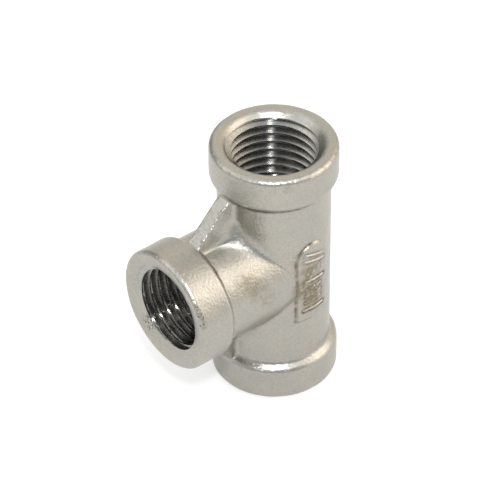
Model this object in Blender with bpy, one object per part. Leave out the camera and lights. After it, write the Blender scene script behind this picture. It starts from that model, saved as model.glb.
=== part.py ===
"""Threaded tee: a quarter-inch pipe fitting, investment cast in stainless steel as one piece.

A straight run stands on one of its ends and a branch of the same size leaves it at a right angle.
Each of the three ends has a thick rounded band, and a gusset web fills both corners of the tee.
The model is drawn about the point where the axes of the run and the branch cross, with the run
along Z and the branch along -Y, and is then set down on its lower end.
"""

import math

import bmesh
import bpy
from mathutils import Matrix

MM = 0.001

# Overall size: from the crossing of the axes to each of the three faces
CENTRE_TO_END = 19.0 * MM

# Ports: a parallel pipe thread of 19 turns to the inch and 55 degrees, right-hand
THREAD_PITCH = 25.4 / 19 * MM
THREAD_MINOR_RADIUS = 5.72 * MM
THREAD_DEPTH = 0.856 * MM
THREAD_LENGTH = 12.4 * MM
THREAD_RUN_OUT = 2.6 * MM
FLANK_HALF_ANGLE = math.radians(27.5)
COUNTERSINK_DEPTH = 0.99 * MM
COUNTERSINK_HALF_ANGLE = math.radians(45)
# Where each crest comes out at its face, as an angle about the port from the +X side
UPPER_START = math.radians(257)
LOWER_START = math.radians(60)
BRANCH_START = math.radians(240)
# The cored passage is this much narrower than the crests
PASSAGE_STEP = 0.27 * MM

# Bands round the ends, measured from the bottom of the thread, and the necks between them
BAND_WALL = 2.074 * MM
BAND_WIDTH = 5.45 * MM
BAND_MOUTH_ROUND = 0.80 * MM
BAND_STEP = 1.02 * MM
BACK_ROUND_SHARE = 0.70
ROOT_ROUND_SHARE = 0.24
CROTCH_ROUND = 3.20 * MM
CROTCH_SIDE_ROUND = 0.50 * MM

# Gusset webs
GUSSET_THICKNESS = 2.30 * MM
GUSSET_DROP = 0.15 * MM
GUSSET_EDGE_ROUND = 0.28 * MM
GUSSET_ROOT_ROUND = 0.90 * MM

# Marking pad on the side of the run, with an arched top
PAD_HALF_WIDTH = 2.50 * MM
PAD_OFFSET = 0.35 * MM
PAD_TOP = 6.4 * MM
PAD_FOOT = 6.3 * MM
PAD_RAISE = 0.30 * MM

# Radii that follow from the thread
THREAD_MAJOR_RADIUS = THREAD_MINOR_RADIUS + THREAD_DEPTH
PASSAGE_RADIUS = THREAD_MINOR_RADIUS - PASSAGE_STEP
BAND_RADIUS = THREAD_MAJOR_RADIUS + BAND_WALL
NECK_RADIUS = BAND_RADIUS - BAND_STEP
BAND_BACK = CENTRE_TO_END - BAND_WIDTH

# Facets; the number round a turn is a multiple of four, so that both necks meet edge to edge
TURNED_SEGMENTS = 64
THREAD_SEGMENTS = 26
ROUND_STEPS = 3
ROOT_STEPS = 2
ARCH_STEPS = 16

# How far a blank runs on inside another, or a cutter past the face that it cuts
OVERLAP = 0.6 * MM
# How far a fillet's edges lie below the surfaces that it runs out on
FILLET_SINK = 0.02 * MM
# How far a fillet or the pad reaches into the wall of a neck
ROOT_DEPTH = 1.3 * MM

CAST_STEEL = (0.62, 0.60, 0.565, 1.0)


def clear_scene():
    """Remove every object that the file holds."""
    for old in list(bpy.data.objects):
        bpy.data.objects.remove(old, do_unlink=True)


def arc(centre, radius, start, end, steps=ROUND_STEPS):
    """Points of a circular arc in a profile plane, from one angle in degrees to another."""
    points = []
    for step in range(steps + 1):
        angle = math.radians(start + (end - start) * step / steps)
        points.append((centre[0] + radius * math.cos(angle), centre[1] + radius * math.sin(angle)))
    return points


def new_object(name, bm):
    """Close a bmesh into a named object with its faces pointing out."""
    bmesh.ops.remove_doubles(bm, verts=bm.verts, dist=1e-7)
    bmesh.ops.recalc_face_normals(bm, faces=bm.faces)
    mesh = bpy.data.meshes.new(name)
    bm.to_mesh(mesh)
    bm.free()
    made = bpy.data.objects.new(name, mesh)
    bpy.context.scene.collection.objects.link(made)
    return made


def turned(name, outline):
    """Spin an outline of (radius, height) points, which starts and ends on the axis, about Z."""
    bm = bmesh.new()
    line = [bm.verts.new((radius, 0, height)) for radius, height in outline]
    edges = [bm.edges.new(pair) for pair in zip(line, line[1:])]
    bmesh.ops.spin(
        bm,
        geom=line + edges,
        cent=(0, 0, 0),
        axis=(0, 0, 1),
        angle=math.tau,
        steps=TURNED_SEGMENTS,
    )
    return new_object(name, bm)


def extruded(name, outline, start, end):
    """Extrude an outline in X and Y along Z, from one height to another."""
    bm = bmesh.new()
    face = bm.faces.new([bm.verts.new((x, y, start)) for x, y in outline])
    grown = bmesh.ops.extrude_face_region(bm, geom=[face])["geom"]
    moved = [item for item in grown if isinstance(item, bmesh.types.BMVert)]
    bmesh.ops.translate(bm, verts=moved, vec=(0, 0, end - start))
    return new_object(name, bm)


def turn(obj, matrix):
    """Turn an object's own mesh, so that its origin stays where the axes cross."""
    obj.data.transform(matrix)
    if matrix.determinant() < 0:
        obj.data.flip_normals()
    return obj


def combine(base, other, operation):
    """Join another solid to the base, or cut it away, and drop it afterwards."""
    modifier = base.modifiers.new(other.name, "BOOLEAN")
    modifier.operation = operation
    modifier.solver = "EXACT"
    modifier.object = other
    graph = bpy.context.evaluated_depsgraph_get()
    mesh = bpy.data.meshes.new_from_object(base.evaluated_get(graph))
    base.modifiers.remove(modifier)
    base.data = mesh
    bpy.data.objects.remove(other, do_unlink=True)
    return base


def band_outline():
    """A band from its mouth face back to the neck, as (radius, distance from the crossing)."""
    back_round = BACK_ROUND_SHARE * BAND_STEP
    root_round = ROOT_ROUND_SHARE * BAND_STEP
    mouth_centre = (BAND_RADIUS - BAND_MOUTH_ROUND, CENTRE_TO_END - BAND_MOUTH_ROUND)
    back_centre = (BAND_RADIUS - back_round, BAND_BACK + back_round)
    root_centre = (NECK_RADIUS + root_round, BAND_BACK - root_round)
    mouth = arc(mouth_centre, BAND_MOUTH_ROUND, 90, 0)
    shoulder = arc(back_centre, back_round, 0, -90)
    root = arc(root_centre, root_round, 90, 180, steps=ROOT_STEPS)
    return mouth + shoulder + root


def run_blank():
    """The solid run, with a band at each end."""
    upper = band_outline()
    lower = [(radius, -height) for radius, height in reversed(upper)]
    return turned("run", [(0, CENTRE_TO_END)] + upper + lower + [(0, -CENTRE_TO_END)])


def branch_blank():
    """The solid branch, from the crossing out to its band along -Y."""
    outline = [(0, CENTRE_TO_END)] + band_outline() + [(NECK_RADIUS, 0), (0, 0)]
    return turn(turned("branch", outline), Matrix.Rotation(math.pi / 2, 4, "X"))


def crotch_fillet():
    """The fillet that a ball rolled along the joint of the two necks leaves in the upper corner.

    Both necks have one radius, so the ball's centre keeps to the plane that halves the corner.
    It touches each neck on the line from that neck's axis to the centre. The ball is largest in
    the corner and shrinks towards the side of the tee, where the fillet runs out.
    """
    last = TURNED_SEGMENTS // 4 - 1
    bm = bmesh.new()
    rows = []
    for step in range(-last, last + 1):
        around = math.tau * step / TURNED_SEGMENTS
        growth = (CROTCH_ROUND - CROTCH_SIDE_ROUND) * math.cos(around) ** 2
        path_radius = NECK_RADIUS + CROTCH_SIDE_ROUND + growth
        touch = (NECK_RADIUS - FILLET_SINK) / path_radius
        core = (NECK_RADIUS - ROOT_DEPTH) / path_radius
        side = path_radius * math.sin(around)
        out = path_radius * math.cos(around)
        centre = (side, -out, out)
        on_run = (side * touch, -out * touch, out)
        on_branch = (side * touch, -out, out * touch)
        inside = (side * core, -out * core, out * core)
        row = [bm.verts.new(inside)]
        row += [bm.verts.new(point) for point in ball_arc(centre, on_run, on_branch)]
        rows.append(row)
    for near, far in zip(rows, rows[1:]):
        for index in range(len(near)):
            after = (index + 1) % len(near)
            bm.faces.new((near[index], near[after], far[after], far[index]))
    bm.faces.new(rows[0])
    bm.faces.new(list(reversed(rows[-1])))
    return new_object("crotch_fillet", bm)


def ball_arc(centre, start, end):
    """Points on the rolled ball between its two touch points."""
    points = []
    for step in range(ROUND_STEPS + 1):
        share = step / ROUND_STEPS
        spoke = [(1 - share) * (a - c) + share * (b - c) for a, b, c in zip(start, end, centre)]
        length = math.hypot(*spoke)
        reach = (1 - share) * math.dist(start, centre) + share * math.dist(end, centre)
        points.append([c + s * reach / length for c, s in zip(centre, spoke)])
    return points


def gusset_web():
    """The web in the upper corner: a plate in the plane of both axes with a sloping outer edge."""
    sunk = BAND_BACK + OVERLAP
    short = BAND_RADIUS + GUSSET_DROP - OVERLAP
    outline = [(0, 0), (sunk, 0), (sunk, short), (short, sunk), (0, sunk)]
    web = extruded("web", outline, -GUSSET_THICKNESS / 2, GUSSET_THICKNESS / 2)
    rounding = web.modifiers.new("edges", "BEVEL")
    rounding.width = GUSSET_EDGE_ROUND
    rounding.segments = 3
    graph = bpy.context.evaluated_depsgraph_get()
    web.data = bpy.data.meshes.new_from_object(web.evaluated_get(graph))
    web.modifiers.clear()
    to_corner = Matrix(((0, 0, 1, 0), (-1, 0, 0, 0), (0, 1, 0, 0), (0, 0, 0, 1)))
    return turn(web, to_corner)


def gusset_root():
    """The fillets on both sides of the web where it stands on the run's neck."""
    half = GUSSET_THICKNESS / 2
    path_radius = NECK_RADIUS + GUSSET_ROOT_ROUND
    side = half + GUSSET_ROOT_ROUND
    out = math.sqrt(path_radius**2 - side**2)
    touch = (NECK_RADIUS - FILLET_SINK) / path_radius
    right = ball_arc((side, -out), (side * touch, -out * touch), (half - FILLET_SINK, -out))
    left = [(-x, y) for x, y in reversed(right)]
    inner = NECK_RADIUS - ROOT_DEPTH
    outline = right + left + [(-half, -inner), (half, -inner)]
    return extruded("root", outline, 0, BAND_BACK + OVERLAP)


def gusset():
    """One upper gusset: the web with its fillets on the run and, mirrored, on the branch."""
    swap = Matrix(((1, 0, 0, 0), (0, 0, -1, 0), (0, -1, 0, 0), (0, 0, 0, 1)))
    made = combine(gusset_web(), gusset_root(), "UNION")
    return combine(made, turn(gusset_root(), swap), "UNION")


def marking_pad():
    """The raised pad for the cast marks, following the side of the run, with an arched top."""
    arch_foot = PAD_TOP - PAD_HALF_WIDTH
    arch = arc((arch_foot, PAD_OFFSET), PAD_HALF_WIDTH, -90, 90, steps=ARCH_STEPS)
    foot = [(-PAD_FOOT, PAD_OFFSET + PAD_HALF_WIDTH), (-PAD_FOOT, PAD_OFFSET - PAD_HALF_WIDTH)]
    block = extruded("pad", arch + foot, NECK_RADIUS - ROOT_DEPTH, BAND_RADIUS)
    turn(block, Matrix(((0, 0, 1, 0), (0, 1, 0, 0), (1, 0, 0, 0), (0, 0, 0, 1))))
    skin = NECK_RADIUS + PAD_RAISE
    drum = turned("skin", [(0, BAND_BACK), (skin, BAND_BACK), (skin, -BAND_BACK), (0, -BAND_BACK)])
    return combine(block, drum, "INTERSECT")


def port_outline():
    """A countersink and the plain bore behind it, which opens the core that the tap leaves."""
    slope = math.tan(COUNTERSINK_HALF_ANGLE)
    flare = THREAD_MINOR_RADIUS + (COUNTERSINK_DEPTH + OVERLAP) * slope
    depth = COUNTERSINK_DEPTH + PASSAGE_STEP / slope
    return [(flare, CENTRE_TO_END + OVERLAP), (PASSAGE_RADIUS, CENTRE_TO_END - depth)]


def run_bore():
    """The straight way through the run."""
    upper = port_outline()
    lower = [(radius, -height) for radius, height in reversed(upper)]
    top = CENTRE_TO_END + OVERLAP
    return turned("run_bore", [(0, top)] + upper + lower + [(0, -top)])


def branch_bore():
    """The way from the run's passage out through the branch."""
    outline = [(0, CENTRE_TO_END + OVERLAP)] + port_outline() + [(PASSAGE_RADIUS, 0), (0, 0)]
    return turn(turned("branch_bore", outline), Matrix.Rotation(math.pi / 2, 4, "X"))


def thread_profile():
    """One pitch of the thread as (height, radius), from the middle of one crest to the next."""
    flat = THREAD_PITCH / 2 - THREAD_DEPTH * math.tan(FLANK_HALF_ANGLE)
    return [
        (-flat / 2, THREAD_MINOR_RADIUS),
        (flat / 2, THREAD_MINOR_RADIUS),
        ((THREAD_PITCH - flat) / 2, THREAD_MAJOR_RADIUS),
        ((THREAD_PITCH + flat) / 2, THREAD_MAJOR_RADIUS),
    ]


def tap(start):
    """A solid tap that fills the thread of the upper port, up past its face.

    Its skin is a strip that winds up through all the turns, so the last edge of each turn meets
    the first edge one pitch higher. At its inner end a cone takes the thread down to nothing.
    """
    profile = thread_profile()
    turns = math.ceil(THREAD_LENGTH / THREAD_PITCH) + 2
    full_thread = CENTRE_TO_END - THREAD_LENGTH + THREAD_RUN_OUT
    core = PASSAGE_RADIUS - PASSAGE_STEP / 2
    fade = (THREAD_MAJOR_RADIUS - core) / THREAD_RUN_OUT
    bm = bmesh.new()
    rows = []
    for step in range(THREAD_SEGMENTS):
        share = step / THREAD_SEGMENTS
        angle = start + math.tau * share
        row = []
        for turn_number in range(turns + (step == 0)):
            foot = CENTRE_TO_END + (turn_number + 1 - turns + share) * THREAD_PITCH
            for rise, radius in profile:
                height = foot + rise
                cone = THREAD_MAJOR_RADIUS + (height - full_thread) * fade
                reach = max(min(radius, cone), core)
                point = (reach * math.cos(angle), reach * math.sin(angle), height)
                row.append(bm.verts.new(point))
        rows.append(row)
    count = turns * len(profile)
    rows.append(rows[0][len(profile) :])
    for near, far in zip(rows, rows[1:]):
        for index in range(count - 1):
            bm.faces.new((near[index], far[index], far[index + 1], near[index + 1]))
    for end in (0, count - 1):
        rim = [row[end] for row in rows]
        seam = rows[0][end : end + len(profile)]
        close_end(bm, rim + seam[:0:-1])
    return new_object("tap", bm)


def close_end(bm, rim):
    """Close an open rim with a fan of triangles round a point on the Z axis."""
    middle = sum(vert.co.z for vert in rim) / len(rim)
    hub = bm.verts.new((0, 0, middle))
    for near, far in zip(rim, rim[1:] + rim[:1]):
        bm.faces.new((near, far, hub))


def taps():
    """The taps of the upper, lower and branch ports."""
    flips = (0, UPPER_START), (math.pi, LOWER_START), (math.pi / 2, BRANCH_START)
    return [turn(tap(start), Matrix.Rotation(flip, 4, "X")) for flip, start in flips]


def steel():
    """Pickled stainless casting: a warm grey metal with a satin skin."""
    material = bpy.data.materials.new("cast_stainless")
    material.use_nodes = True
    shader = material.node_tree.nodes["Principled BSDF"]
    shader.inputs["Base Color"].default_value = CAST_STEEL
    shader.inputs["Metallic"].default_value = 1.0
    shader.inputs["Roughness"].default_value = 0.38
    return material


def tee_body():
    """The whole casting, threaded and bored last, standing on the run's lower end."""
    upside_down = Matrix.Scale(-1, 4, (0, 0, 1))
    body = combine(run_blank(), branch_blank(), "UNION")
    for corner in (Matrix.Identity(4), upside_down):
        body = combine(body, turn(crotch_fillet(), corner), "UNION")
        body = combine(body, turn(gusset(), corner), "UNION")
    body = combine(body, marking_pad(), "UNION")
    for cutter in taps() + [run_bore(), branch_bore()]:
        body = combine(body, cutter, "DIFFERENCE")
    body.name = "tee_body"
    body.data.materials.clear()
    body.data.materials.append(steel())
    body.data.shade_smooth()
    body.data.set_sharp_from_angle(angle=math.radians(32))
    body.location = (0, (CENTRE_TO_END - BAND_RADIUS) / 2, CENTRE_TO_END)
    return body


clear_scene()
tee_body()
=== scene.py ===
import math

import bmesh
import bpy
import numpy as np
from mathutils import Matrix, Vector


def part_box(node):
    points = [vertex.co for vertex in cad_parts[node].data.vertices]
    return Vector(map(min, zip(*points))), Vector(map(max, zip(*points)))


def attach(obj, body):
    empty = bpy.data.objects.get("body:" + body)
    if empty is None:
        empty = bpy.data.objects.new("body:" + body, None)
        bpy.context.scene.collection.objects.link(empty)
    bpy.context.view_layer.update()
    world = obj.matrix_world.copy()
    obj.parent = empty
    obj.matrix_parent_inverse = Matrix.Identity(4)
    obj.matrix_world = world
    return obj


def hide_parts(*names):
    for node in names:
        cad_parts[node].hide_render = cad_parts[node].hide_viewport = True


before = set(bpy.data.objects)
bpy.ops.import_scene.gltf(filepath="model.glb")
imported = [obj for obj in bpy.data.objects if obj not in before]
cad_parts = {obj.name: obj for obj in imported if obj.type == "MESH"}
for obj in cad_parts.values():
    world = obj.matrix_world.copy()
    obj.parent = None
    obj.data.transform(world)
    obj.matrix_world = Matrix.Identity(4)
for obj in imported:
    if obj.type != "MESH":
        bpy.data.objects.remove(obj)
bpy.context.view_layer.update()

# Units: the casting is modelled in millimetres about the crossing of its axes, with the run along
# Z and the branch along -Y, and is then set in the frame's metres
MM = 0.001

# Sizes that come from the frame
CAD_LOW, CAD_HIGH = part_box("tee_body")
CENTRE_TO_END = (CAD_HIGH[2] - CAD_LOW[2]) / 2 / MM
BAND_RADIUS = (CAD_HIGH[0] - CAD_LOW[0]) / 2 / MM
CROSSING = Vector((0, CAD_HIGH[1] - BAND_RADIUS * MM, CAD_LOW[2] + CENTRE_TO_END * MM))

# How far forms run into each other where they join or are cut
OVERLAP = 0.6

# Threads, passages and countersinks
THREAD_PITCH = 25.4 / 19
THREAD_MINOR_RADIUS = 5.72
THREAD_DEPTH = 0.856
THREAD_MAJOR_RADIUS = THREAD_MINOR_RADIUS + THREAD_DEPTH
THREAD_ROUND = 0.1373 * THREAD_PITCH
THREAD_CREST_HALF_WIDTH = 0.11
THREAD_LENGTH = 12.4
THREAD_RUN_OUT = 2.6
FLANK_HALF_ANGLE = math.radians(27.5)
PASSAGE_RADIUS = THREAD_MINOR_RADIUS - 0.27
TAP_CORE_RADIUS = PASSAGE_RADIUS - 0.13
COUNTERSINK_EDGE_ROUND = 0.35
COUNTERSINK_FOOT = PASSAGE_RADIUS - OVERLAP
# For the upper, lower and branch port: where a crest comes out at the face, as an angle about the
# port from the +X side, and the height at which the passage ends
PORT_STARTS = (math.radians(257), math.radians(60), math.radians(70))
PASSAGE_ENDS = (-1.0, -1.2, -0.1)

# Bands and necks
BAND_WIDTH = 5.45
BAND_MOUTH_ROUND = 0.80
BAND_STEP = 1.02
BAND_BACK_ROUND = 0.45
BAND_ROOT_ROUND = 0.30
NECK_RADIUS = BAND_RADIUS - BAND_STEP
BAND_BACK = CENTRE_TO_END - BAND_WIDTH
SHOULDER_FOOT = BAND_BACK - 0.24

# Ends of the run and of the branch, as (shoulder slope, countersink radius, countersink slope)
RUN_END = (math.radians(52), THREAD_MINOR_RADIUS + 1.22, math.radians(45))
BRANCH_END = (math.radians(68), THREAD_MINOR_RADIUS + 1.93, math.radians(20))

# Crotch, with how many times its radius a soft fillet reaches
CROTCH_ROUND = 3.2
SOFT_REACH = 1.75

# Gusset webs
GUSSET_THICKNESS = 2.30
GUSSET_DROP = 0.15
GUSSET_EDGE_ROUND = 0.30
GUSSET_SLOPE_SUM = BAND_BACK + BAND_RADIUS + GUSSET_DROP
GUSSET_ROOT_ROUND = 0.55
GUSSET_CORNER_ROUND = 1.80
GUSSET_CORNER_REACH = 2.2

# Marking pad and the marks on it
PAD_HALF_WIDTH = 2.50
PAD_OFFSET = 0.35
PAD_TOP = 6.4
PAD_FOOT = 6.3
PAD_RAISE = 0.30
PAD_EDGE = 0.26
MARK_RAISE = 0.12
MARK_EDGE = 0.22

# Faint brown stains on the skin, as (place, reach, strength)
STAINS = (
    ((6.4, -9.8, 4.2), 2.6, 0.55),
    ((7.1, -8.6, 2.7), 2.4, 0.50),
    ((7.6, -7.3, 0.6), 1.8, 0.40),
    ((7.5, -2.1, 4.4), 1.6, 0.45),
    ((8.0, -0.4, 2.0), 2.4, 0.80),
    ((8.0, -1.0, -0.6), 3.0, 1.00),
    ((8.0, 0.4, -2.8), 2.8, 1.00),
    ((4.7, -5.9, 9.1), 1.2, 0.35),
    ((7.7, -4.0, 17.7), 1.0, 0.40),
)

# Dark pits at the branch's mouth, as (place, reach)
PITS = (
    ((6.9, -18.6, 5.0), 0.6),
    ((7.5, -18.6, 4.1), 0.9),
    ((8.1, -18.6, 2.9), 0.8),
    ((-3.8, -18.7, -4.8), 1.7),
)

# Unevenness of the cast skin, as waves in the mesh
RIPPLE_HEIGHT = 0.018
RIPPLE_LENGTHS = (1.4, 2.2, 3.8)
RIPPLE_WAVES = 12

# Painted shade, dark brown: how far it reaches from the bands' backs, the marks and the pad's foot,
# and how dark it lies between the lower and the upper marks
SHADE_REACH = 0.22
MARK_SHADE_REACH = 0.26
PAD_SHADE_REACH = 0.17
LOW_MARK_SHADE = 1.5
HIGH_MARK_SHADE = 0.8
SHADE_SPLIT = 1.0

# How far the beaded skin reaches from an edge, and its share at the mouths
BEAD_REACH = 0.45
RIM_BEADS = 0.4

# Skin of the metal: its colours, and the heights of its bump
CAST_WARM = (0.490, 0.470, 0.425)
CAST_COOL = (0.460, 0.450, 0.415)
CAST_SPECKLE = (0.31, 0.295, 0.26)
# Colour of the painted shade in the corners behind the upper and branch bands and round the pad's
# marks
PAINTED_SHADE_COLOUR = (0.12, 0.085, 0.055)
STAIN_COLOUR = (0.26, 0.22, 0.15)
PIT_COLOUR = (0.13, 0.12, 0.105)
THREAD_DULL = (0.38, 0.375, 0.35)
THREAD_BRIGHT = (0.46, 0.45, 0.42)
CORED_COLOUR = (0.30, 0.28, 0.25)
GRAIN_HEIGHT = 0.030
DENT_HEIGHT = 0.055
PIT_HEIGHT = -0.05
BEAD_HEIGHT = 0.26
CORED_HEIGHT = 0.03

# Mesh
COARSE_CELL = 0.40
GRADIENT_STEP = 0.01
# Keeps a step onto the skin short where the distance hardly changes
LEAST_SLOPE_SQUARED = 0.2
CYLINDER_SEGMENTS = 96
THREAD_SEGMENTS = 100
THREAD_ARC_POINTS = 4
SHARP_ANGLE = math.radians(28)
# How near a face lies to a form that it is part of
TOLERANCE = 0.04
# The seam above which a band is built in rings, and the rings' spacing and steps
SEAM = BAND_BACK + 1.6
BAND_RING_SPACING = 0.8
FACE_RING_SPACING = 0.3
MOUTH_STEPS = 7
EDGE_STEPS = 3
# Margins of the places that are refined, round by round
SHOULDER_MARGIN = 0.7
ROOT_MARGIN = 0.30
GUSSET_MARGINS = (1.6, 0.4)
PAD_MARGINS = (0.9, 0.3)
PAD_EDGE_MARGIN = 0.26

# Camera, fitted to the outlines in the photograph
CAMERA_AZIMUTH = math.radians(51.128)
CAMERA_ELEVATION = math.radians(40.24)
CAMERA_ROLL = math.radians(-0.486)
CAMERA_DISTANCE = 411.35
CAMERA_AIM_RIGHT = 3.244
CAMERA_AIM_UP = -0.311
CAMERA_LENS = 219.33
SENSOR_WIDTH = 36.0

# Light of the studio
EVEN_LIGHT = (0.09, 0.09, 0.09)
SOFT_BOX_SPREAD = math.radians(24)
# Soft boxes, as (degrees to the camera's right, elevation in degrees, colour)
SOFT_BOXES = (
    (0, 35, (0.50, 0.57, 0.60)),
    (45, 35, (0.45, 0.48, 0.52)),
    (90, 5, (1.36, 1.23, 1.06)),
    (90, 35, (2.75, 2.50, 2.18)),
    (135, 5, (0.30, 0.30, 0.26)),
    (135, 35, (0.80, 0.68, 0.55)),
    (180, 5, (0.72, 0.70, 0.66)),
    (180, 35, (0.66, 0.62, 0.54)),
    (-135, 65, (1.10, 1.10, 1.10)),
    (-90, 35, (1.60, 1.60, 1.57)),
    (-45, 35, (0.80, 0.82, 0.80)),
    (45, 65, (0.34, 0.34, 0.38)),
    (0, 90, (0.16, 0.19, 0.22)),
)

# Two small lamps above the camera, as (azimuth, elevation, power), and their width and distance
# in metres
LAMPS = ((51.6, 48.5, 0.84), (67.6, 70.0, 0.12))
LAMP_SIZE = 0.040
LAMP_DISTANCE = 0.45

# Floor: its colour, its glow to the camera and in reflections, and half its width in metres
FLOOR_COLOUR = (0.55, 0.55, 0.55)
FLOOR_GLOW_SEEN = 0.50
FLOOR_GLOW_REFLECTED = 0.32
FLOOR_HALF_WIDTH = 20.0


def round_join(a, b, radius):
    """Distance to two solids joined with a fillet of this radius."""
    near_a = np.maximum(radius - a, 0)
    near_b = np.maximum(radius - b, 0)
    return np.maximum(radius, np.minimum(a, b)) - np.hypot(near_a, near_b)


def soft_join(a, b, radius):
    """Distance to two solids joined with about such a fillet, but one that fades out softly."""
    reach = SOFT_REACH * radius
    share = np.maximum(reach - np.abs(a - b), 0) / reach
    return np.minimum(a, b) - share**3 * reach / 6


def round_meet(a, b, radius):
    """Distance to what two solids share, with the edge between them rounded."""
    return -round_join(-a, -b, radius)


def smooth_rise(depth, width):
    """From 0 outside an outline to 1 inside it, across an edge of this width."""
    share = np.clip(depth / width + 0.5, 0, 1)
    return share * share * (3 - 2 * share)


def countersink_floor(end):
    """The height at which a countersink has run in to its foot."""
    _, sink_radius, sink_slope = end
    return CENTRE_TO_END - (sink_radius - COUNTERSINK_FOOT) * math.tan(sink_slope)


def band(radius, along, end):
    """Distance to a band with its countersink and its back shoulder."""
    slope, sink_radius, sink_slope = end
    mouth = round_meet(radius - BAND_RADIUS, along - CENTRE_TO_END, BAND_MOUTH_ROUND)
    cone = (along - CENTRE_TO_END) * math.cos(sink_slope)
    cone = cone + (sink_radius - radius) * math.sin(sink_slope)
    cone = np.minimum(cone, along - countersink_floor(end))
    mouth = round_meet(mouth, cone, COUNTERSINK_EDGE_ROUND)
    back = (radius - NECK_RADIUS) * math.cos(slope) - (along - SHOULDER_FOOT) * math.sin(slope)
    return round_meet(mouth, back, BAND_BACK_ROUND)


def corner_radii(x, out, up):
    """Radii of the fillet between the necks, full in the corner only, and at the gusset's foot."""
    out = np.maximum(out, 1e-3)
    up = np.maximum(up, 1e-3)
    corner = (out**-4 + up**-4) ** -0.25
    crotch = CROTCH_ROUND * (corner**2 / (x**2 + corner**2)) ** 2
    fade = np.exp(-(((up - out) / GUSSET_CORNER_REACH) ** 2))
    return crotch, GUSSET_ROOT_ROUND + (GUSSET_CORNER_ROUND - GUSSET_ROOT_ROUND) * fade


def mark_strokes():
    """The plain raised bars on the pad, as (across, height, half length, half width, tilt)."""
    bars = [(0.1, 4.5, 1.55, 0.11, -0.28), (0.15, 3.5, 1.70, 0.12, -0.22)]
    bars += [(across, 1.9, 0.50, 0.12, 1.35) for across in (-0.80, 0.05, 0.90)]
    bars += [(0.1, 0.3, 1.60, 0.12, -0.05)]
    for row in (-1.0, -2.1, -3.2):
        bars += [(across, row, 0.22, 0.14, 0.3) for across in (-1.05, -0.05, 0.95)]
    bars += [(0.1, -4.6, 1.60, 0.12, 0.0)]
    return bars


def mark_depth(across, z):
    """How far a point of the pad lies inside the nearest mark, and negative outside it."""
    depth = np.full_like(z, -9.0)
    for middle, level, half_length, half_width, tilt in mark_strokes():
        along = (across - middle) * math.cos(tilt) + (z - level) * math.sin(tilt)
        beside = (z - level) * math.cos(tilt) - (across - middle) * math.sin(tilt)
        past = np.maximum(np.abs(along) - half_length, 0)
        depth = np.maximum(depth, half_width - np.hypot(past, beside))
    return depth


def pad_outline(across, z):
    """How far a point lies outside the pad's outline, and negative inside it."""
    arch = np.hypot(across, z - PAD_TOP + PAD_HALF_WIDTH) - PAD_HALF_WIDTH
    straight = np.maximum(np.abs(across) - PAD_HALF_WIDTH, -PAD_FOOT - z)
    return np.where(z > PAD_TOP - PAD_HALF_WIDTH, arch, straight)


def pad_height(x, y, z):
    """How far the pad and its marks stand above the neck."""
    across = y - PAD_OFFSET
    outline = pad_outline(across, z)
    height = PAD_RAISE * smooth_rise(-outline, PAD_EDGE)
    marks = smooth_rise(mark_depth(across, z), MARK_EDGE)
    return np.where(x > 0, height + MARK_RAISE * marks * (outline < 0), 0)


def ripple_waves():
    """Directions and phases of the waves that make the cast skin uneven."""
    chance = np.random.default_rng(4)
    waves = chance.normal(size=(len(RIPPLE_LENGTHS) * RIPPLE_WAVES, 3))
    waves /= np.linalg.norm(waves, axis=1, keepdims=True)
    lengths = np.repeat(RIPPLE_LENGTHS, RIPPLE_WAVES)
    phases = chance.uniform(0, math.tau, len(waves))
    return waves * (math.tau / lengths)[:, None], phases, lengths / np.linalg.norm(lengths)


WAVES, PHASES, WAVE_HEIGHTS = ripple_waves()


def ripple(points):
    """The small unevenness of the cast skin, which only takes metal away."""
    heights = np.sin(points @ WAVES.T + PHASES) @ WAVE_HEIGHTS
    return RIPPLE_HEIGHT * (1 + np.tanh(heights))


def casting(points):
    """Distance from the skin of the casting, before its ports are cut."""
    x, y, z = points.T
    out = -y
    up = np.abs(z)
    run_radius = np.hypot(x, y)
    branch_radius = np.hypot(x, z)
    crotch_round, root_round = corner_radii(x, out, up)
    run_neck = np.maximum(run_radius - NECK_RADIUS, up - BAND_BACK - OVERLAP)
    branch_neck = np.maximum(branch_radius - NECK_RADIUS, np.maximum(y, out - BAND_BACK - OVERLAP))
    skin = soft_join(run_neck, branch_neck, np.maximum(crotch_round, 0.1))
    slope = (up + out - GUSSET_SLOPE_SUM) / math.sqrt(2)
    web = round_meet(np.abs(x) - GUSSET_THICKNESS / 2, slope, GUSSET_EDGE_ROUND)
    ends = np.maximum(up, out) - BAND_BACK - OVERLAP
    web = np.maximum(np.maximum(web, -out), ends)
    skin = soft_join(skin, web, root_round)
    bands = np.minimum(band(run_radius, up, RUN_END), band(branch_radius, out, BRANCH_END))
    return round_join(skin, bands, BAND_ROOT_ROUND) - pad_height(x, y, z) + ripple(points)


def slope_of(points):
    """Gradient of the distance from the casting's skin."""
    columns = []
    for axis in np.eye(3) * GRADIENT_STEP:
        columns.append((casting(points + axis) - casting(points - axis)) / (2 * GRADIENT_STEP))
    return np.stack(columns, -1)


def settled(points, rounds=4):
    """The points moved onto the casting's skin."""
    for _ in range(rounds):
        slope = slope_of(points)
        reach = casting(points) / np.maximum((slope**2).sum(-1), LEAST_SLOPE_SQUARED)
        points = points - np.clip(reach, -COARSE_CELL, COARSE_CELL)[:, None] * slope
    return points


def new_piece(name, bm):
    """A bmesh as an object with its faces pointing out."""
    bmesh.ops.recalc_face_normals(bm, faces=bm.faces)
    mesh = bpy.data.meshes.new(name)
    bm.to_mesh(mesh)
    bm.free()
    made = bpy.data.objects.new(name, mesh)
    bpy.context.scene.collection.objects.link(made)
    return made


def applied(obj):
    """The object with its modifiers made part of its mesh."""
    graph = bpy.context.evaluated_depsgraph_get()
    mesh = bpy.data.meshes.new_from_object(obj.evaluated_get(graph))
    obj.modifiers.clear()
    obj.data = mesh
    return obj


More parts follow.
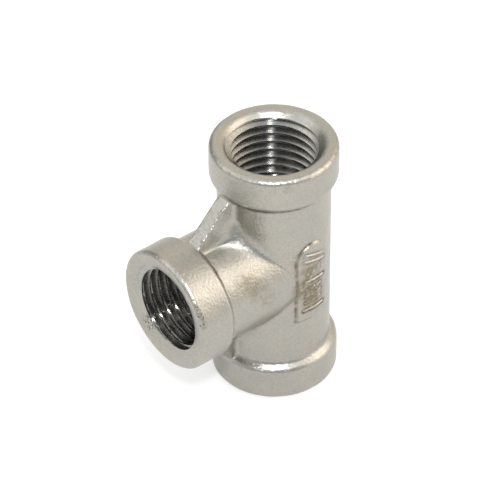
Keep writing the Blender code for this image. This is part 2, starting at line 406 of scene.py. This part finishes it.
def add_cylinder(bm, radius, low, high, to_branch):
    """A plain closed cylinder along the run or, turned, along the branch."""
    length = high - low
    place = Matrix.Translation((0, 0, (low + high) / 2))
    if to_branch:
        place = Matrix.Rotation(math.pi / 2, 4, "X") @ place
    bmesh.ops.create_cone(
        bm,
        cap_ends=True,
        segments=CYLINDER_SEGMENTS,
        radius1=radius,
        radius2=radius,
        depth=length,
        matrix=place,
    )


def rough_casting():
    """A voxel mesh of roughly the casting's form."""
    bm = bmesh.new()
    add_cylinder(bm, NECK_RADIUS, -CENTRE_TO_END, CENTRE_TO_END, False)
    add_cylinder(bm, NECK_RADIUS, 0, CENTRE_TO_END, True)
    add_cylinder(bm, BAND_RADIUS, BAND_BACK, CENTRE_TO_END, False)
    add_cylinder(bm, BAND_RADIUS, -CENTRE_TO_END, -BAND_BACK, False)
    add_cylinder(bm, BAND_RADIUS, BAND_BACK, CENTRE_TO_END, True)
    end = BAND_BACK + OVERLAP
    short = GUSSET_SLOPE_SUM - end
    for side in (1, -1):
        outline = [(0, 0), (0, end), (short, end), (end, short), (end, 0)]
        corners = [bm.verts.new((-GUSSET_THICKNESS / 2, -out, side * up)) for out, up in outline]
        face = bm.faces.new(corners)
        grown = bmesh.ops.extrude_face_region(bm, geom=[face])["geom"]
        moved = [item for item in grown if isinstance(item, bmesh.types.BMVert)]
        bmesh.ops.translate(bm, verts=moved, vec=(GUSSET_THICKNESS, 0, 0))
    made = new_piece("tee_casting", bm)
    voxels = made.modifiers.new("voxels", "REMESH")
    voxels.mode = "VOXEL"
    voxels.voxel_size = COARSE_CELL
    return applied(made)


def read_values(items, name, kind, width=1):
    """One property of all the mesh's items, as an array of rows of this width."""
    flat = np.empty(len(items) * width, kind)
    items.foreach_get(name, flat)
    return flat.reshape(-1, width) if width > 1 else flat


def vertex_array(mesh):
    """The mesh's vertices as an array."""
    return read_values(mesh.vertices, "co", np.float32, 3).astype(float)


def place_vertices(mesh, points):
    """Move the mesh's vertices to these points."""
    mesh.vertices.foreach_set("co", points.astype(np.float32).ravel())
    mesh.update()


def relax(mesh, rounds):
    """Even out the mesh along the casting's skin."""
    points = settled(vertex_array(mesh))
    first, second = read_values(mesh.edges, "vertices", np.int32, 2).T
    count = np.bincount(first, minlength=len(points)) + np.bincount(second, minlength=len(points))
    for _ in range(rounds):
        total = np.zeros_like(points)
        np.add.at(total, first, points[second])
        np.add.at(total, second, points[first])
        points = settled(0.5 * points + 0.5 * total / count[:, None], rounds=2)
    place_vertices(mesh, points)


def near_pad(points, margin):
    """The stretch of the neck that holds the pad."""
    x, y, z = points.T
    wide = np.abs(y - PAD_OFFSET) < PAD_HALF_WIDTH + margin
    return (x > 5) & wide & (z < PAD_TOP + margin) & (z > -PAD_FOOT - margin)


def near_gusset(points, margin):
    """The sides, edges and feet of the gusset webs."""
    x, y, z = points.T
    beside = (np.abs(x) > GUSSET_THICKNESS / 2 - 0.6) & (np.abs(x) < GUSSET_THICKNESS / 2 + margin)
    return beside & (-y > NECK_RADIUS - 1) & (np.abs(z) > NECK_RADIUS - 1)


def near_shoulder(points, margin):
    """The step from each neck up to its band."""
    x, y, z = points.T
    hit = np.zeros(len(points), bool)
    for radius, along in ((np.hypot(x, y), np.abs(z)), (np.hypot(x, z), -y)):
        level = (along > SHOULDER_FOOT - margin) & (along < BAND_BACK + 0.6)
        hit |= level & (radius > NECK_RADIUS - 0.3)
    return hit


def near_root(points, margin):
    """The small fillet at the foot of each step."""
    x, y, z = points.T
    hit = np.zeros(len(points), bool)
    for radius, along in ((np.hypot(x, y), np.abs(z)), (np.hypot(x, z), -y)):
        level = (radius > NECK_RADIUS - 0.3) & (radius < NECK_RADIUS + 0.55)
        hit |= level & (np.abs(along - SHOULDER_FOOT) < margin)
    return hit


def near_pad_edges(points, margin):
    """The edges of the pad and of its marks."""
    x, y, z = points.T
    across = y - PAD_OFFSET
    marks = np.abs(mark_depth(across, z)) < margin
    return near_pad(points, margin) & (marks | (np.abs(pad_outline(across, z)) < margin))


def refine(obj, hit):
    """Split the mesh's edges in two wherever both ends are hit."""
    bm = bmesh.new()
    bm.from_mesh(obj.data)
    bm.verts.ensure_lookup_table()
    edges = [e for e in bm.edges if hit[e.verts[0].index] and hit[e.verts[1].index]]
    bmesh.ops.subdivide_edges(bm, edges=edges, cuts=1, use_grid_fill=True)
    bm.to_mesh(obj.data)
    bm.free()


def arc_points(centre, radius, start, end, steps):
    """Points of an arc after its first one, with its angles in degrees."""
    angles = [math.radians(start + (end - start) * (step + 1) / steps) for step in range(steps)]
    return [(centre[0] + radius * math.cos(a), centre[1] + radius * math.sin(a)) for a in angles]


def line_points(start, end, spacing):
    """Evenly spaced points of a line after its first one."""
    steps = max(1, round(math.dist(start, end) / spacing))
    shares = [(step + 1) / steps for step in range(steps)]
    run = (end[0] - start[0], end[1] - start[1])
    return [(start[0] + run[0] * share, start[1] + run[1] * share) for share in shares]


def end_outline(end):
    """A band's outline as (radius, height), from the seam over its mouth to the countersink."""
    _, sink_radius, sink_slope = end
    level = CENTRE_TO_END - BAND_MOUTH_ROUND
    face_out = BAND_RADIUS - BAND_MOUTH_ROUND
    face_in = sink_radius + COUNTERSINK_EDGE_ROUND * math.tan(sink_slope / 2)
    points = line_points((BAND_RADIUS, SEAM), (BAND_RADIUS, level), BAND_RING_SPACING)
    points += arc_points((face_out, level), BAND_MOUTH_ROUND, 0, 90, MOUTH_STEPS)
    points += line_points((face_out, CENTRE_TO_END), (face_in, CENTRE_TO_END), FACE_RING_SPACING)
    centre = (face_in, CENTRE_TO_END - COUNTERSINK_EDGE_ROUND)
    turned = 90 + math.degrees(sink_slope)
    points += arc_points(centre, COUNTERSINK_EDGE_ROUND, 90, turned, EDGE_STEPS)
    foot = (COUNTERSINK_FOOT, countersink_floor(end))
    return points + line_points(points[-1], foot, FACE_RING_SPACING)


def close_end(bm, rim):
    """Close an open rim with a fan of triangles round a point on the Z axis."""
    hub = bm.verts.new((0, 0, sum(vert.co.z for vert in rim) / len(rim)))
    for near, far in zip(rim, rim[1:] + rim[:1]):
        bm.faces.new((near, far, hub))


def rebuild_ends(obj):
    """Cut each band off at its seam and build it again in even rings."""
    bm = bmesh.new()
    bm.from_mesh(obj.data)
    for turn, end in zip(port_turns(), (RUN_END, RUN_END, BRANCH_END)):
        bmesh.ops.transform(bm, matrix=turn.inverted(), verts=bm.verts)
        whole = bm.verts[:] + bm.edges[:] + bm.faces[:]
        bmesh.ops.bisect_plane(
            bm, geom=whole, dist=1e-5, plane_co=(0, 0, SEAM), plane_no=(0, 0, 1), clear_outer=True
        )
        loose = [vert for vert in bm.verts if vert.is_boundary]
        bmesh.ops.remove_doubles(bm, verts=loose, dist=COARSE_CELL / 4)
        rim = [vert for vert in bm.verts if vert.is_boundary]
        rim.sort(key=lambda vert: math.atan2(vert.co.y, vert.co.x))
        for radius, height in end_outline(end):
            ring = []
            for vert in rim:
                scale = radius / math.hypot(vert.co.x, vert.co.y)
                ring.append(bm.verts.new((vert.co.x * scale, vert.co.y * scale, height)))
            for index, vert in enumerate(rim):
                bm.faces.new((rim[index - 1], vert, ring[index], ring[index - 1]))
            rim = ring
        close_end(bm, rim)
        bmesh.ops.transform(bm, matrix=turn, verts=bm.verts)
    bmesh.ops.recalc_face_normals(bm, faces=bm.faces)
    bm.to_mesh(obj.data)
    bm.free()
    place_vertices(obj.data, settled(vertex_array(obj.data)))


def port_turns():
    """What turns the upper port into the upper, lower and branch port."""
    return [Matrix.Rotation(angle, 4, "X") for angle in (0, math.pi, math.pi / 2)]


def thread_profile():
    """One pitch of the tap as (height, radius): a flat crest, a flank, a round root, a flank."""
    drop = math.pi / 2 - FLANK_HALF_ANGLE
    last = THREAD_ARC_POINTS - 1
    turns = [drop * (2 * step / last - 1) for step in range(THREAD_ARC_POINTS)]
    centre = THREAD_MAJOR_RADIUS - THREAD_ROUND
    half = THREAD_CREST_HALF_WIDTH
    crest = [(-half, THREAD_MINOR_RADIUS), (half, THREAD_MINOR_RADIUS)]
    rises = [THREAD_PITCH / 2 + THREAD_ROUND * math.sin(a) for a in turns]
    return crest + [(rise, centre + THREAD_ROUND * math.cos(a)) for rise, a in zip(rises, turns)]


def tap(start):
    """The tap for the upper port: a closed helix whose thread runs out at its inner end."""
    profile = thread_profile()
    turns = math.ceil(THREAD_LENGTH / THREAD_PITCH) + 2
    full_thread = CENTRE_TO_END - THREAD_LENGTH + THREAD_RUN_OUT
    fade = (THREAD_MAJOR_RADIUS - TAP_CORE_RADIUS) / THREAD_RUN_OUT
    bm = bmesh.new()
    rows = []
    for step in range(THREAD_SEGMENTS):
        share = step / THREAD_SEGMENTS
        angle = start + math.tau * share
        row = []
        for turn_number in range(turns + (step == 0)):
            foot = CENTRE_TO_END + (turn_number + 1 - turns + share) * THREAD_PITCH
            for rise, radius in profile:
                height = foot + rise
                cone = THREAD_MAJOR_RADIUS + (height - full_thread) * fade
                reach = max(min(radius, cone), TAP_CORE_RADIUS)
                spot = (reach * math.cos(angle), reach * math.sin(angle), height)
                row.append(bm.verts.new(spot))
        rows.append(row)
    count = turns * len(profile)
    rows.append(rows[0][len(profile) :])
    for near, far in zip(rows, rows[1:]):
        for index in range(count - 1):
            bm.faces.new((near[index], far[index], far[index + 1], near[index + 1]))
    for end in (0, count - 1):
        rim = [row[end] for row in rows]
        seam = rows[0][end : end + len(profile)]
        close_end(bm, rim + seam[:0:-1])
    return new_piece("tap", bm)


def bore(low):
    """The plain passage of the upper port, down to a given height."""
    bm = bmesh.new()
    add_cylinder(bm, PASSAGE_RADIUS, low, CENTRE_TO_END + OVERLAP, False)
    return new_piece("bore", bm)


def cut_ports(body):
    """Cut the thread and the passage of all three ports."""
    for turn, start, low in zip(port_turns(), PORT_STARTS, PASSAGE_ENDS):
        for cutter in (tap(start), bore(low)):
            cutter.data.transform(turn)
            cut = body.modifiers.new("cut", "BOOLEAN")
            cut.operation = "DIFFERENCE"
            cut.solver = "MANIFOLD"
            cut.object = cutter
            applied(body)
            bpy.data.objects.remove(cutter, do_unlink=True)


def thread_rise(points, start):
    """Height above the middle of the nearest crest of the upper port's thread."""
    x, y, z = points.T
    turns = (z - CENTRE_TO_END) / THREAD_PITCH - (np.arctan2(y, x) - start) / math.tau
    return (turns - np.round(turns)) * THREAD_PITCH


def thread_normals(points, centres, start):
    """Exact normals of face corners on the upper port's thread, and which of them lie on it."""
    x, y, _ = points.T
    radius = np.maximum(np.hypot(x, y), 1e-3)
    rise = thread_rise(points, start)
    middle = thread_rise(centres, start)
    away = (THREAD_PITCH / 2 - np.abs(rise)) / THREAD_ROUND
    steepest = math.cos(FLANK_HALF_ANGLE)
    turned = np.arcsin(np.clip(away, 0, steepest))
    crest = np.abs(middle) < THREAD_CREST_HALF_WIDTH * 0.98
    climb = np.where(crest, 0, np.sign(np.where(away > 0.05, middle, 0)) * turned)
    root = THREAD_MAJOR_RADIUS - THREAD_ROUND + THREAD_ROUND * np.cos(turned)
    flank = THREAD_MINOR_RADIUS
    flank += (np.abs(rise) - THREAD_CREST_HALF_WIDTH) / math.tan(FLANK_HALF_ANGLE)
    form = np.where(crest, THREAD_MINOR_RADIUS, np.where(away > steepest, flank, root))
    lead = -np.sin(climb) * THREAD_PITCH / math.tau / radius
    inward = np.cos(climb)
    normals = np.stack(
        [(-inward * x - lead * y) / radius, (-inward * y + lead * x) / radius, np.sin(climb)], -1
    )
    return normals, np.abs(radius - form) < TOLERANCE


def skin_normals(points):
    """Exact normals of points on the casting's skin."""
    slope = slope_of(points)
    return slope / np.linalg.norm(slope, axis=-1, keepdims=True)


def finish_mesh(body, materials):
    """Give each face its material, and the skin and the threads the exact normals of their form."""
    mesh = body.data
    mesh.materials.clear()
    for material in materials:
        mesh.materials.append(material)
    centres = read_values(mesh.polygons, "center", np.float32, 3).astype(float)
    x, y, z = centres.T
    in_branch = -y > np.maximum(NECK_RADIUS, np.abs(z))
    radius = np.where(in_branch, np.hypot(x, z), np.hypot(x, y))
    on_skin = (np.abs(casting(centres)) < TOLERANCE) & (radius > THREAD_MINOR_RADIUS - 0.1)
    threaded = ~on_skin & (radius > PASSAGE_RADIUS + 0.02)
    slots = np.where(on_skin, 0, np.where(threaded & ~in_branch, 1, np.where(threaded, 2, 3)))
    mesh.polygons.foreach_set("material_index", slots.astype(np.int32))
    mesh.shade_smooth()
    mesh.set_sharp_from_angle(angle=SHARP_ANGLE)
    corners = read_values(mesh.corner_normals, "vector", np.float32, 3)
    vertex_of = read_values(mesh.loops, "vertex_index", np.int32)
    sizes = read_values(mesh.polygons, "loop_total", np.int32)
    points = vertex_array(mesh)
    skin_corner = np.repeat(on_skin, sizes)
    corners[skin_corner] = skin_normals(points)[vertex_of[skin_corner]]
    ports = (threaded & ~in_branch & (z > 0), threaded & ~in_branch & (z < 0), threaded & in_branch)
    for turn, start, faces in zip(port_turns(), PORT_STARTS, ports):
        turned = np.array(turn.to_3x3())
        chosen = np.flatnonzero(np.repeat(faces, sizes))
        spots = points[vertex_of[chosen]] @ turned
        middles = np.repeat(centres, sizes, axis=0)[chosen] @ turned
        normals, hit = thread_normals(spots, middles, start)
        corners[chosen[hit]] = (normals @ turned.T)[hit]
    mesh.normals_split_custom_set(corners.tolist())
    # Stores the painted shade mask and the beaded-skin mask as values at the points
    for name, share in (("painted_shade", painted_shade(points)), ("beads", beads(points))):
        values = mesh.attributes.new(name, "FLOAT", "POINT").data
        values.foreach_set("value", share.astype(np.float32))


def painted_shade(points):
    """Painted shade: dark corners behind the upper band and the branch's, between the pad's marks
    and along one side of the pad's foot.
    """
    x, y, z = points.T
    share = np.zeros(len(points))
    for radius, along in ((np.hypot(x, y), z), (np.hypot(x, z), -y)):
        away = np.hypot(radius - NECK_RADIUS - 0.05, along - SHOULDER_FOOT)
        share = np.maximum(share, np.exp(-((away / SHADE_REACH) ** 2)))
    outside = np.minimum(mark_depth(y - PAD_OFFSET, z) + MARK_EDGE / 2, 0)
    beside = np.exp(-((outside / MARK_SHADE_REACH) ** 2)) * (outside < 0)
    beside = beside * np.where(z < SHADE_SPLIT, LOW_MARK_SHADE, HIGH_MARK_SHADE)
    foot = pad_outline(y - PAD_OFFSET, z) - PAD_EDGE / 2
    beside = np.maximum(beside, np.exp(-((foot / PAD_SHADE_REACH) ** 2)) * (y < PAD_OFFSET))
    return np.maximum(share, beside * (x > NECK_RADIUS - 1.5))


def beads(points):
    """Where the skin is beaded: on the edges of the mouths and of the gussets."""
    x, y, z = points.T
    slope = (np.abs(z) - y - GUSSET_SLOPE_SUM) / math.sqrt(2)
    away = np.where(y < 0, np.hypot(np.abs(x) - GUSSET_THICKNESS / 2, slope), 9)
    share = np.exp(-((away / BEAD_REACH) ** 2))
    for radius, along in ((np.hypot(x, y), np.abs(z)), (np.hypot(x, z), -y)):
        inset = BEAD_REACH / 2
        away = np.hypot(radius - BAND_RADIUS + inset, along - CENTRE_TO_END + inset)
        share = np.maximum(share, RIM_BEADS * np.exp(-((away / BEAD_REACH) ** 2)))
    return share


def tee_casting(materials):
    """The whole fitting as one closed mesh, in the frame's place."""
    body = rough_casting()
    relax(body.data, 3)
    steps = ((near_shoulder, SHOULDER_MARGIN), (near_root, ROOT_MARGIN))
    for (near_step, margin), gusset, pad in zip(steps, GUSSET_MARGINS, PAD_MARGINS):
        points = vertex_array(body.data)
        hit = near_step(points, margin) | near_gusset(points, gusset) | near_pad(points, pad)
        refine(body, hit)
        relax(body.data, 2)
    refine(body, near_pad_edges(vertex_array(body.data), PAD_EDGE_MARGIN))
    rebuild_ends(body)
    cut_ports(body)
    finish_mesh(body, materials)
    body.data.transform(Matrix.Translation(CROSSING) @ Matrix.Scale(MM, 4))
    return body


class Graph:
    """A shader's node tree, with a short method for each kind of step."""

    def __init__(self, owner):
        owner.use_nodes = True
        self.tree = owner.node_tree
        self.tree.nodes.clear()

    def add(self, kind, inputs, **settings):
        """A node of this kind, with its settings made and its inputs fed."""
        made = self.tree.nodes.new("ShaderNode" + kind)
        for name, value in settings.items():
            setattr(made, name, value)
        for key, value in inputs.items():
            self.feed(made.inputs[key], value)
        return made

    def feed(self, socket, value):
        """Link or set one input."""
        if isinstance(value, bpy.types.NodeSocket):
            self.tree.links.new(value, socket)
        else:
            socket.default_value = value

    def math(self, operation, first, second=0.0):
        """One sum on numbers."""
        return self.add("Math", {0: first, 1: second}, operation=operation).outputs[0]

    def rise(self, value, low, high):
        """From 0 below low to 1 above high, smoothly."""
        inputs = {"Value": value, "From Min": low, "From Max": high}
        return self.add("MapRange", inputs, interpolation_type="SMOOTHSTEP").outputs["Result"]

    def blend(self, share, first, second):
        """The first colour, and the second where the share is 1."""
        colours = [c if isinstance(c, bpy.types.NodeSocket) else (*c, 1) for c in (first, second)]
        inputs = {0: share, 6: colours[0], 7: colours[1]}
        return self.add("Mix", inputs, data_type="RGBA").outputs[2]

    def place(self):
        """Where a point lies, in millimetres from the crossing."""
        spot = self.add("TexCoord", {}).outputs["Object"]
        inputs = {"Vector": spot, "Location": -CROSSING / MM, "Scale": (1 / MM,) * 3}
        return self.add("Mapping", inputs).outputs["Vector"]

    def noise(self, place, scale, detail=2.0):
        """Noise with this many features to a millimetre."""
        inputs = {"Vector": place, "Scale": scale, "Detail": detail}
        return self.add("TexNoise", inputs).outputs["Fac"]

    def bump(self, height):
        """A normal from a height in millimetres."""
        inputs = {"Height": height, "Distance": MM, "Strength": 1.0}
        return self.add("Bump", inputs).outputs["Normal"]

    def stored(self, name):
        """A value that the mesh holds for each of its points."""
        return self.add("Attribute", {}, attribute_name=name).outputs["Fac"]

    def spots(self, place, listed):
        """The strength of these spots, each one given as (place, reach, strength)."""
        total = 0.0
        for spot, reach, strength in listed:
            away = self.add("VectorMath", {0: place, 1: spot}, operation="DISTANCE")
            away = away.outputs["Value"]
            near = self.rise(away, reach, reach * 0.2)
            total = self.math("MAXIMUM", self.math("MULTIPLY", near, strength), total)
        return total

    def shader(self, inputs):
        """The finished metal."""
        metal = self.add("BsdfPrincipled", {"Metallic": 1.0, **inputs})
        self.add("OutputMaterial", {"Surface": metal.outputs["BSDF"]})


def cast_colour(graph, place, pitted):
    """Grey-brown metal, faintly mottled, with painted shade in its corners and a few stains and
    pits.
    """
    cloud = graph.rise(graph.noise(place, 0.35), 0.35, 0.65)
    colour = graph.blend(cloud, CAST_WARM, CAST_COOL)
    speckle = graph.rise(graph.noise(place, 4.0, 4.0), 0.30, 0.75)
    colour = graph.blend(graph.math("MULTIPLY", speckle, 0.45), colour, CAST_SPECKLE)
    patchy = graph.rise(graph.noise(place, 1.2, 3.0), 0.30, 0.62)
    # Painted shade: darkens the corners behind the bands and round the pad's marks towards brown,
    # patchily
    shade_strength = graph.math("ADD", graph.math("MULTIPLY", patchy, 0.6), 0.25)
    shade_share = graph.math("MULTIPLY", graph.stored("painted_shade"), shade_strength)
    colour = graph.blend(shade_share, colour, PAINTED_SHADE_COLOUR)
    stain = graph.math("MULTIPLY", graph.spots(place, STAINS), patchy)
    colour = graph.blend(stain, colour, STAIN_COLOUR)
    return graph.blend(pitted, colour, PIT_COLOUR)


def cast_height(graph, place, grain, pitted):
    """The skin's fine relief: grain, dents, pits, and beads along its edges."""
    dents = graph.noise(place, 2.6, 2.0)
    uneven = graph.math("SUBTRACT", graph.noise(place, 1.7, 1.0), 0.5)
    beaded = graph.math("MULTIPLY", uneven, graph.stored("beads"))
    height = graph.math("MULTIPLY", pitted, PIT_HEIGHT)
    for share, scale in ((grain, GRAIN_HEIGHT), (dents, DENT_HEIGHT), (beaded, BEAD_HEIGHT)):
        height = graph.math("ADD", height, graph.math("MULTIPLY", share, scale))
    return height


def cast_steel():
    """Blasted stainless casting: satin, grainy and a little worn."""
    material = bpy.data.materials.new("cast_stainless")
    graph = Graph(material)
    place = graph.place()
    grain = graph.noise(place, 7.0, 3.0)
    holes = graph.rise(graph.noise(place, 3.2, 1.0), 0.52, 0.62)
    pitted = graph.math("MULTIPLY", holes, graph.spots(place, [(*pit, 1.0) for pit in PITS]))
    height = cast_height(graph, place, grain, pitted)
    graph.shader({
        "Base Color": cast_colour(graph, place, pitted),
        "Roughness": graph.math("ADD", graph.math("MULTIPLY", grain, 0.10), 0.25),
        "Normal": graph.bump(height),
    })
    return material


def thread_steel(name, axis):
    """Cut stainless with fine tool marks round the port's axis."""
    material = bpy.data.materials.new(name)
    graph = Graph(material)
    place = graph.place()
    speckle = graph.noise(place, 3.0, 3.0)
    tangent = graph.add("Tangent", {}, direction_type="RADIAL", axis=axis).outputs[0]
    graph.shader({
        "Base Color": graph.blend(graph.rise(speckle, 0.3, 0.7), THREAD_DULL, THREAD_BRIGHT),
        "Roughness": graph.math("ADD", graph.math("MULTIPLY", speckle, 0.06), 0.17),
        "Anisotropic": 1.0,
        "Anisotropic Rotation": 0.25,
        "Tangent": tangent,
    })
    return material


def cored_steel():
    """The rougher, darker metal of the cored passage."""
    material = bpy.data.materials.new("cored_stainless")
    graph = Graph(material)
    grain = graph.noise(graph.place(), 4.0, 3.0)
    bump = graph.bump(graph.math("MULTIPLY", grain, CORED_HEIGHT))
    graph.shader({"Base Color": (*CORED_COLOUR, 1), "Roughness": 0.5, "Normal": bump})
    return material


def direction(azimuth, elevation):
    """The way to a point of the sky, with azimuth 0 at -Y and 90 at +X."""
    a, e = math.radians(azimuth), math.radians(elevation)
    return Vector((math.sin(a) * math.cos(e), -math.cos(a) * math.cos(e), math.sin(e)))


def add_camera():
    """The photograph's camera, which looks down at the crossing from the branch's right."""
    back = direction(math.degrees(CAMERA_AZIMUTH), math.degrees(CAMERA_ELEVATION))
    level = Vector((math.cos(CAMERA_AZIMUTH), math.sin(CAMERA_AZIMUTH), 0))
    upright = back.cross(level)
    right = math.cos(CAMERA_ROLL) * level + math.sin(CAMERA_ROLL) * upright
    above = math.cos(CAMERA_ROLL) * upright - math.sin(CAMERA_ROLL) * level
    eye = CAMERA_DISTANCE * back - CAMERA_AIM_RIGHT * right - CAMERA_AIM_UP * above
    data = bpy.data.cameras.new("camera")
    data.lens = CAMERA_LENS
    data.sensor_width = SENSOR_WIDTH
    data.clip_start = 0.01
    camera = bpy.data.objects.new("camera", data)
    turn = Matrix((right, above, back)).transposed().to_4x4()
    camera.matrix_world = Matrix.Translation(CROSSING + eye * MM) @ turn
    bpy.context.scene.collection.objects.link(camera)
    bpy.context.scene.camera = camera


def add_sky():
    """A pale studio: even light, soft boxes, and white where the camera looks past the floor."""
    world = bpy.data.worlds.new("studio")
    graph = Graph(world)
    way = graph.add("TexCoord", {}).outputs["Generated"]
    way = graph.add("VectorMath", {0: way}, operation="NORMALIZE").outputs["Vector"]
    total = EVEN_LIGHT
    for side, elevation, colour in SOFT_BOXES:
        inputs = {0: way, 1: direction(math.degrees(CAMERA_AZIMUTH) + side, elevation)}
        near = graph.add("VectorMath", inputs, operation="DOT_PRODUCT").outputs["Value"]
        away = graph.math("SUBTRACT", near, 1.0)
        share = graph.math("DIVIDE", away, 1 - math.cos(SOFT_BOX_SPREAD))
        glow = graph.math("EXPONENT", share)
        box = graph.add("VectorMath", {0: colour, 3: glow}, operation="SCALE").outputs["Vector"]
        total = graph.add("VectorMath", {0: total, 1: box}, operation="ADD").outputs["Vector"]
    light = graph.add("Background", {"Color": total, "Strength": 1.0}).outputs[0]
    white = graph.add("Background", {"Color": (1, 1, 1, 1), "Strength": 1.0}).outputs[0]
    seen = graph.add("LightPath", {}).outputs["Is Camera Ray"]
    shown = graph.add("MixShader", {0: seen, 1: light, 2: white}).outputs[0]
    graph.add("OutputWorld", {"Surface": shown})
    bpy.context.scene.world = world


def add_lamps():
    """The small lamps that draw the sharp highlights."""
    for azimuth, elevation, power in LAMPS:
        data = bpy.data.lights.new("lamp", "AREA")
        data.shape = "DISK"
        data.size = LAMP_SIZE
        data.energy = power
        lamp = bpy.data.objects.new("lamp", data)
        way = direction(azimuth, elevation)
        lamp.location = CROSSING + way * LAMP_DISTANCE
        lamp.rotation_euler = way.to_track_quat("Z", "Y").to_euler()
        bpy.context.scene.collection.objects.link(lamp)


def add_floor():
    """The white table, which is white to the camera and in reflections and keeps the shadow."""
    bm = bmesh.new()
    bmesh.ops.create_grid(bm, x_segments=1, y_segments=1, size=FLOOR_HALF_WIDTH)
    floor = new_piece("floor", bm)
    material = bpy.data.materials.new("table")
    graph = Graph(material)
    path = graph.add("LightPath", {}).outputs
    seen = graph.math("MULTIPLY", path["Is Camera Ray"], FLOOR_GLOW_SEEN)
    mirrored = graph.math("MAXIMUM", path["Is Glossy Ray"], path["Is Transmission Ray"])
    mirrored = graph.math("MULTIPLY", mirrored, FLOOR_GLOW_REFLECTED)
    matt = graph.add("BsdfDiffuse", {"Color": (*FLOOR_COLOUR, 1)}).outputs[0]
    glow = graph.add("Emission", {"Strength": graph.math("ADD", seen, mirrored)}).outputs[0]
    both = graph.add("AddShader", {0: matt, 1: glow}).outputs[0]
    graph.add("OutputMaterial", {"Surface": both})
    floor.data.materials.append(material)


bpy.context.scene.view_settings.view_transform = "Standard"
add_camera()
add_sky()
add_lamps()
add_floor()
threads = [thread_steel("run_threads", "Z"), thread_steel("branch_threads", "Y")]
tee = tee_casting([cast_steel(), *threads, cored_steel()])
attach(tee, "root")
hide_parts("tee_body")

bpy.context.view_layer.update()
